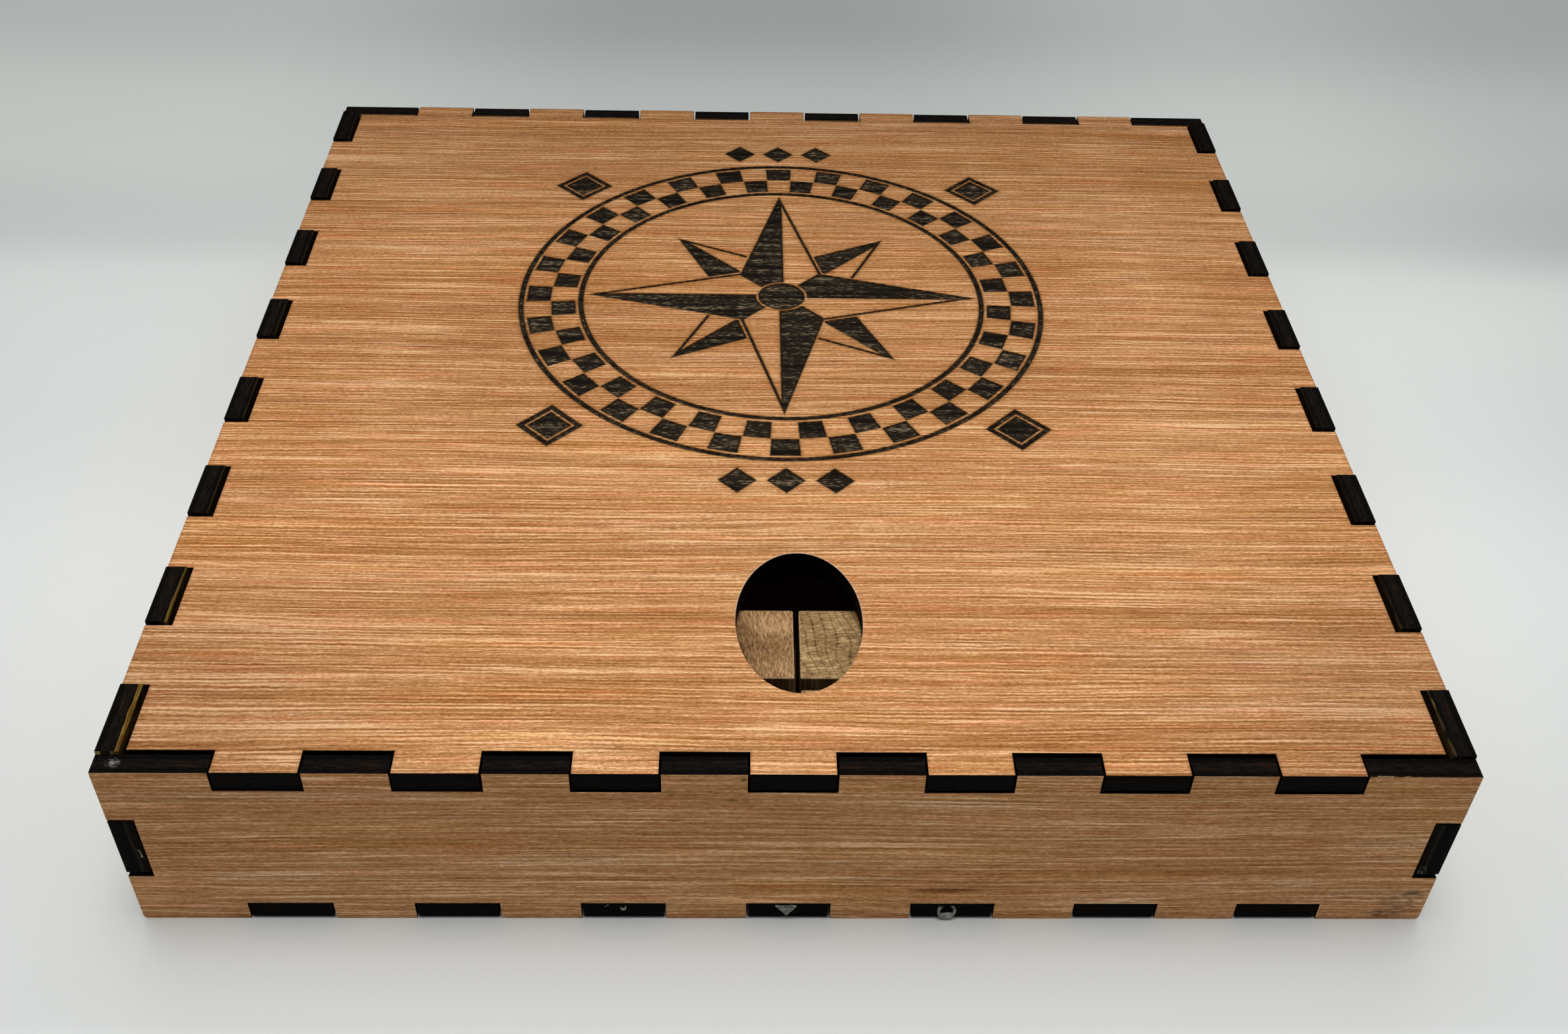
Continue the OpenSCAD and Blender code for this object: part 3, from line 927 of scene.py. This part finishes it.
def paint_men(name, base, pale, deep):
    """Sawn hardwood blocks with end grain of two kinds on their tops."""
    paint = Paint(name)
    column, row = man_column(paint)
    dice = paint.add("ShaderNodeTexWhiteNoise", {"noise_dimensions": "2D"}, {"Vector": point(column, row)},
                     output="Color")
    first, second, third = paint.split(dice)
    x, y, z = paint.x + first * 90, paint.y + second * 90, paint.z / 30
    turn = (third - 0.5) * 0.5
    along = y * turn.math("COSINE") + x * turn.math("SINE")
    across = x * turn.math("COSINE") - y * turn.math("SINE")
    sway = noise(across / 1.7, along / 0.9, z) * 0.16
    ripple = noise((across + sway) / 0.30, along / 1.5, z, detail=1.0, roughness=0.5)
    bend = noise(across / 9, along / 14, z) * 1.6 + noise(across / 2, along / 1.5, z) * 0.12
    rings = rise(((across + bend) * (2 * math.pi / 2.3)).math("SINE"), 0.70, 1.0)
    lift = noise(across / 2.6, along / 1.6, z + 7) * 0.3 + across * 0.12
    rays = noise(across / 2.4, (along + lift) / 0.50, z, detail=2.0, roughness=0.7)
    split = rise(abs(noise(across / 7, along / 2.2, z + 9)), 0.035, 0.0)
    split = split * rise(noise(x / 9, y / 9, z + 5), 0.75, 1.0)
    ringed = (column + row + 1).math("FLOORED_MODULO", 2.0)
    speck = noise(x / 0.35, y / 0.35, z, detail=1.0)
    cloud = noise(x / 11, y / 11, z + 2)
    plain = ripple * 1.35 + speck * 0.20 + cloud * 0.85
    streaked = rays * 1.75 + ripple * 0.25 + speck * 0.20 - rings * 0.95 + 0.15 + cloud * 0.5
    weave = plain * (1 - ringed) + streaked * ringed
    colour = mix(deep, base, rise(weave, -1.9, 0.05))
    colour = mix(colour, pale, rise(weave, 0.0, 1.6))
    colour = multiply(colour, PLAIN_GRAIN, 1 - ringed)
    colour = multiply(colour, RINGED_GRAIN, ringed)
    stain = rise(noise(x / 4.5, y / 3.2, z + 4, detail=1.0), 0.45, 1.3)
    colour = mix(colour, shade_of(base, *STAIN), stain * 0.5)
    colour = mix(colour, shade_of(deep, 0.25), split * 0.9)
    colour, sign = mark_men(paint, colour, cloud, pale)
    height = weave * 0.05 + speck * 0.02 - split * 0.15
    return paint.finish(colour, 0.62 + sign * 0.2, height, MEN_SHINE)


def mark_men(paint, colour, cloud, pale):
    """Adds sides that are browned and darkened by painted shade, bare fibres along the top rims and burnt
    signs. Gives the signs' place too.
    """
    up = paint.normal()[2]
    side = rise(abs(up), 0.5, 0.2)
    # Browning with painted shade on the sides
    side_cloud = noise(paint.x / 0.6 + paint.y / 0.6, paint.z / 14, 3.0, detail=2.0)
    browning_and_shade = rise(side_cloud + cloud, 1.6, -1.2)
    colour = multiply(colour, BROWNED_AND_SHADED_SIDE, side * (browning_and_shade * 0.3 + 0.7))
    tops = box_mm("light_king")[1].z
    rim = rise(abs(up - 0.6), 0.38, 0.22) * rise(paint.z, tops - 1.0, tops - 0.6)
    torn = noise(paint.x / 0.7, paint.y / 0.7, 6.0, detail=2.0)
    colour = mix(colour, tuple(min(1.0, c * 1.15) for c in pale), rim * rise(torn, -1.0, 0.6) * 0.7)
    signs = rise(paint.z, tops - 0.30, tops - 0.50) * rise(paint.z, tops - 0.75, tops - 0.70)
    sign = signs * rise(up, 0.5, 0.9)
    burnt_sign = noise(paint.x / 0.7, paint.y / 0.4, 4.0, detail=1.0)
    return mix(colour, SIGN, clamp(sign * (0.93 + burnt_sign * 0.07))), sign


def model_man(kind, rim):
    """One man with softened rims, from the light node of its kind."""
    piece = copy_of(f"light_{kind}", f"pattern_{kind}")
    low, high = box_mm(f"light_{kind}")
    bpy.ops.object.mode_set(mode="EDIT")

    def on_rim(a, b):
        for level in (low.z, high.z):
            if abs(a.z - level) < 0.01 and abs(b.z - level) < 0.01:
                return all(min(abs(p.x - low.x), abs(p.x - high.x)) < 1.0
                           or min(abs(p.y - low.y), abs(p.y - high.y)) < 1.0 for p in (a, b))
        return False

    if pick_edges(piece, on_rim) < 8:
        raise RuntimeError(f"the rim of {kind} wasn't found")
    bpy.ops.mesh.bevel(offset=rim, offset_type="OFFSET", segments=2, affect="EDGES", clamp_overlap=True)
    bpy.ops.object.mode_set(mode="OBJECT")
    return piece


def kind_of(name):
    """The kind of a man, such as pawn."""
    return name.split("_")[0]


class CHESSBOX_OT_men(bpy.types.Operator):
    """Models one man of each kind, copies it to its places and dresses the light and the dark men"""

    bl_idname = "chessbox.men"
    bl_label = "Men"

    def execute(self, context):
        look = context.scene.chess_box.men
        light, dark = tuple(look.light), tuple(look.dark)
        woods = {
            "light": paint_men("Light hardwood", light, pale=shade_of(light, 2.0, 2.3, 2.8),
                               deep=shade_of(light, 0.30, 0.24, 0.18)),
            "dark": paint_men("Dark hardwood", dark, pale=shade_of(dark, 1.8), deep=shade_of(dark, 0.45)),
        }
        patterns = {}
        for name in OFFICERS + PAWNS:
            kind = kind_of(name)
            if kind not in patterns:
                patterns[kind] = (model_man(name, look.rim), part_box(f"light_{name}")[0])
        for side, wood in woods.items():
            for name in OFFICERS + PAWNS:
                pattern, place = patterns[kind_of(name)]
                node = f"{side}_{name}"
                man = pattern.copy()
                man.data = pattern.data.copy()
                man.name = man.data.name = f"{node}_block"
                context.scene.collection.objects.link(man)
                man.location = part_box(node)[0] - place
                finish_piece(man, wood, nodes=[node])
        for pattern, _ in patterns.values():
            bpy.data.objects.remove(pattern)
        return {"FINISHED"}


# Glue

def paint_glue(colour):
    """Milky glue, clearer and darker where it is thin on the front, with painted shade on all the glue on
    the front.
    """
    paint = Paint("Hot glue")
    cloud = noise(paint.x / 2.5, paint.y / 2.5, paint.z / 2.5, detail=2.0)
    shade = mix(shade_of(colour, 0.35), colour, rise(cloud, -0.9, 0.8))
    thin = rise(paint.z, 4.3, 4.7) * rise(paint.y, FRONT_LOW.y + 2, FRONT_LOW.y + 1)
    clear = rise(abs(noise(paint.x / 3, paint.z / 0.5, 3.0)), 0.05, 0.5)
    shade = mix(shade, shade_of(colour, 0.10), thin * clear * 0.95)
    # Painted shade on the glue on the front
    shade = multiply(shade, (0.55, 0.54, 0.50), rise(paint.y, FRONT_LOW.y + 2, FRONT_LOW.y + 1))
    return paint.finish(shade, 0.22 + rise(cloud, 0.0, 1.0) * 0.2, cloud * 0.05, GLUE_SHINE)


def add_waves(piece, name, size, strength):
    """Makes a surface uneven with smooth clouds, in its mesh."""
    clouds = bpy.data.textures.new(name, "CLOUDS")
    clouds.noise_scale = size
    clouds.noise_depth = 2
    waves = piece.modifiers.new("Waves", "DISPLACE")
    waves.texture = clouds
    waves.texture_coords = "GLOBAL"
    waves.strength = strength
    waves.mid_level = 0.5
    model_only(piece)
    bpy.ops.object.modifier_apply(modifier="Waves")


# Squeezed-out glue on the front: shape, middle x and z, width, thickness and height in millimetres, turn
GLUE_DROPS = (
    ("bead", -43.1, 5.1, 1.3, 0.40, 0.36, 35),
    ("hook", -39.1, 4.6, 1.7, 0.60, 2.0, 25),
    ("wedge", -0.5, 4.0, 5.2, 0.55, 3.8, 0),
    ("loop", 37.8, 3.45, 4.6, 1.0, 6.1, 0),
    ("wedge", 37.8, 1.7, 3.2, 0.8, 2.2, 0),
)


def add_drop(shape, x, z, wide, thick, tall, turn):
    """One drop of glue that sits on the ends of the base's fingers."""
    place = {"location": (x * MM, (FRONT_LOW.y - thick * 0.2) * MM, z * MM)}
    bpy.ops.object.select_all(action="DESELECT")
    if shape == "bead":
        bpy.ops.mesh.primitive_uv_sphere_add(
            segments=16, ring_count=10, radius=MM / 2, rotation=(0, math.radians(-turn), 0),
            scale=(wide, thick, tall), **place)
    elif shape == "wedge":
        bpy.ops.mesh.primitive_cylinder_add(
            vertices=3, radius=MM, depth=MM, rotation=(math.radians(-90), 0, 0),
            scale=(wide / math.sqrt(3), tall / 1.5, thick), **place)
    else:
        rim, cut = (0.085, 0.26) if shape == "loop" else (0.14, 0.12)
        bpy.ops.mesh.primitive_torus_add(
            major_radius=(0.5 - rim) * MM, minor_radius=rim * MM, major_segments=28, minor_segments=10,
            rotation=(math.radians(90), 0, 0), **place)
        bpy.context.object.scale = (wide, tall, thick / (2 * rim))
    drop = bpy.context.object
    model_only(drop)
    bpy.ops.object.transform_apply(location=False, rotation=True, scale=True)
    bpy.ops.object.mode_set(mode="EDIT")
    bpy.ops.mesh.select_all(action="SELECT")
    if shape == "wedge":
        bpy.ops.mesh.bevel(offset=0.22 * MM, segments=2, affect="EDGES")
        bpy.ops.mesh.select_all(action="SELECT")
        bpy.ops.mesh.quads_convert_to_tris()
        bpy.ops.mesh.subdivide(number_cuts=4)
    if shape in ("hook", "loop"):
        slope = math.radians(turn)
        bpy.ops.mesh.bisect(
            plane_co=(drop.location.x, drop.location.y, drop.location.z + tall * cut * MM),
            plane_no=(-math.sin(slope), 0, math.cos(slope)), clear_outer=True, use_fill=True)
    bpy.ops.object.mode_set(mode="OBJECT")
    bpy.ops.object.transform_apply(location=True, rotation=True, scale=True)
    return drop


class CHESSBOX_OT_glue(bpy.types.Operator):
    """Makes the glue beads uneven and adds the glue that was squeezed out of the joints"""

    bl_idname = "chessbox.glue"
    bl_label = "Glue"

    def execute(self, context):
        look = context.scene.chess_box.glue
        material = paint_glue(tuple(look.colour))
        beads = copy_of("glue_beads", "wavy_glue_beads")
        bpy.ops.object.mode_set(mode="EDIT")
        if not pick_edges(beads, lambda a, b: (a - b).length > 20):
            raise RuntimeError("the beads' long edges weren't found")
        bpy.ops.mesh.subdivide(number_cuts=70)
        bpy.ops.object.mode_set(mode="OBJECT")
        add_waves(beads, "Bead waves", 5 * MM, look.waves)
        finish_piece(beads, material, nodes=["glue_beads"])
        for number, sizes in enumerate(GLUE_DROPS, 1):
            drop = add_drop(*sizes)
            drop.name = drop.data.name = f"glue_drop_{number}"
            add_waves(drop, f"Drop waves {number}", 0.8 * MM, 0.35 * MM)
            finish_piece(drop, material)
        return {"FINISHED"}


# Stage

class CHESSBOX_OT_stage(bpy.types.Operator):
    """Lays the pale floor, hangs two soft lamps and places the camera"""

    bl_idname = "chessbox.stage"
    bl_label = "Stage"

    def execute(self, context):
        look = context.scene.chess_box.stage
        depth = look.lamp_depth
        self.add_floor(look)
        front = self.add_lamp("front_lamp", look.front_place, look.front_width, depth, look.front_power)
        front.data.spread = look.front_spread
        back = self.add_lamp("back_lamp", look.back_place, look.back_width, depth, look.back_power)
        back.rotation_euler.x = look.back_tilt
        self.add_sky(context, look)
        self.add_camera(context, look)
        context.scene.view_settings.view_transform = "Standard"
        return {"FINISHED"}

    def add_floor(self, look):
        bpy.ops.object.select_all(action="DESELECT")
        bpy.ops.mesh.primitive_grid_add(x_subdivisions=8, y_subdivisions=8, size=8, location=(0, 0, 0))
        floor = bpy.context.object
        floor.name = floor.data.name = "floor"
        floor.data.materials.append(self.paint_floor(look))

    def paint_floor(self, look):
        """A pale matt floor that runs into an even backdrop, with painted shade towards the front and beyond
        a soft line behind the box, and a painted glow that the camera alone sees.
        """
        paint = Paint("Pale floor")
        x, y = paint.x, paint.y
        outside = highest(rise(abs(x), 500.0, 900.0), rise(y, 480.0, 850.0), rise(y, -225.0, -600.0))
        outside = outside * outside * (3 - outside * 2)
        # Painted shade: darker beyond a soft line behind the box and towards the front
        far = rise(y + noise(x / 260, 0.5) * 5, 126.0, 158.0) * (1 - outside)
        colour = dim(tuple(look.floor), 0.89 + rise(y, -150.0, -10.0) * 0.11 - far * 0.11)
        grain = noise(x / 1.2, y / 1.2, detail=2.0)
        glow = self.floor_glow(x, y, far, outside)
        shown = self.seen(paint)
        height = grain * 0.03
        more = {"Emission Color": dim(tuple(look.glow), glow * shown), "Emission Strength": 1.0}
        return paint.finish(colour, 0.62, height, FLOOR_SHINE, **more)

    def floor_glow(self, x, y, far, outside):
        """How much paler than lit the backdrop is for the camera, around the box and far out."""
        near = rise(y, 10.0, 145.0) * 0.15 - far * 0.005
        near = near + rise(y, -180.0, -192.0) * 0.17
        ahead = 1 - rise(y, 90.0, 190.0)
        near = near + rise(abs(x + 10), 170.0, 270.0) * rise(y, -160.0, -20.0) * ahead * 0.05
        near = near + rise(x, 90.0, 230.0) * ahead * 0.04
        side = rise(abs(x + 15), 40.0, 230.0)
        behind = rise(y, 150.0, 220.0)
        dusk = rise(y, 250.0, 350.0)
        ends = behind * 0.085 - dusk * 0.095
        middle = behind * -0.015 - dusk * 0.125
        right = rise(y, 120.0, 145.0) * rise(x, 200.0, 350.0) * 0.07
        glow = highest(near + middle * (1 - side) + ends * side - right, 0.0)
        return glow * (1 - outside) + outside * 0.36

    def seen(self, paint):
        """1 for what the camera sees, also in a reflection or through glass, and 0 for light on the box."""
        share = 0.0
        for name in ("Is Camera Ray", "Is Glossy Ray", "Is Transmission Ray"):
            share = paint.add("ShaderNodeLightPath", output=name) + share
        return clamp(share)

    def add_lamp(self, name, place, width, depth, power):
        bpy.ops.object.light_add(type="AREA", location=tuple(place))
        lamp = bpy.context.object
        lamp.name = name
        lamp.data.shape = "RECTANGLE"
        lamp.data.size = width
        lamp.data.size_y = depth
        lamp.data.energy = power
        lamp.visible_camera = False
        return lamp

    def add_sky(self, context, look):
        world = bpy.data.worlds.new("Even light")
        context.scene.world = world
        world.use_nodes = True
        tree = world.node_tree
        tree.nodes.clear()
        light, wall = (tree.nodes.new("ShaderNodeBackground") for _ in range(2))
        light.inputs["Color"].default_value = (0.97, 0.99, 1.0, 1.0)
        light.inputs["Strength"].default_value = look.sky
        wall.inputs["Color"].default_value = (*look.wall, 1.0)
        share = tree.nodes.new("ShaderNodeLightPath").outputs["Is Camera Ray"]
        both = tree.nodes.new("ShaderNodeMixShader")
        end = tree.nodes.new("ShaderNodeOutputWorld")
        for socket, source in zip(both.inputs, (share, light.outputs[0], wall.outputs[0])):
            tree.links.new(source, socket)
        tree.links.new(both.outputs[0], end.inputs["Surface"])

    def add_camera(self, context, look):
        bpy.ops.object.camera_add(location=tuple(look.camera_place), rotation=tuple(look.camera_turn))
        camera = context.object
        camera.name = "camera"
        camera.data.lens = look.lens
        camera.data.sensor_width = 36
        camera.data.sensor_fit = "HORIZONTAL"
        camera.data.clip_start = 0.01
        context.scene.camera = camera


OPERATORS = (
    CHESSBOX_OT_stage,
    CHESSBOX_OT_lid,
    CHESSBOX_OT_base,
    CHESSBOX_OT_walls,
    CHESSBOX_OT_men,
    CHESSBOX_OT_glue,
)
SETTINGS = (VeneerLook, BurntLook, RosetteSizes, BoardSizes, MenLook, GlueLook, StageLook, ChessBoxSettings)


class CHESSBOX_PT_sidebar(bpy.types.Panel):
    """Buttons and settings of the chess box"""

    bl_idname = "CHESSBOX_PT_sidebar"
    bl_label = "Chess Box"
    bl_space_type = "VIEW_3D"
    bl_region_type = "UI"
    bl_category = "Chess Box"

    def draw(self, context):
        for operator in OPERATORS:
            self.layout.operator(operator.bl_idname)
        settings = context.scene.chess_box
        for group in settings.bl_rna.properties:
            if group.type != "POINTER" or group.identifier == "rna_type":
                continue
            section = self.layout.box()
            section.label(text=group.name)
            look = getattr(settings, group.identifier)
            for value in look.bl_rna.properties:
                if value.identifier not in ("rna_type", "name"):
                    section.prop(look, value.identifier)


def register():
    for kind in SETTINGS + OPERATORS + (CHESSBOX_PT_sidebar,):
        bpy.utils.register_class(kind)
    bpy.types.Scene.chess_box = PointerProperty(
        name="Chess box", description="Settings of the chess box", type=ChessBoxSettings)


def unregister():
    del bpy.types.Scene.chess_box
    for kind in reversed(SETTINGS + OPERATORS + (CHESSBOX_PT_sidebar,)):
        bpy.utils.unregister_class(kind)


def main():
    register()
    for operator in OPERATORS:
        group, name = operator.bl_idname.split(".")
        getattr(getattr(bpy.ops, group), name)()


if __name__ == "__main__":
    main()
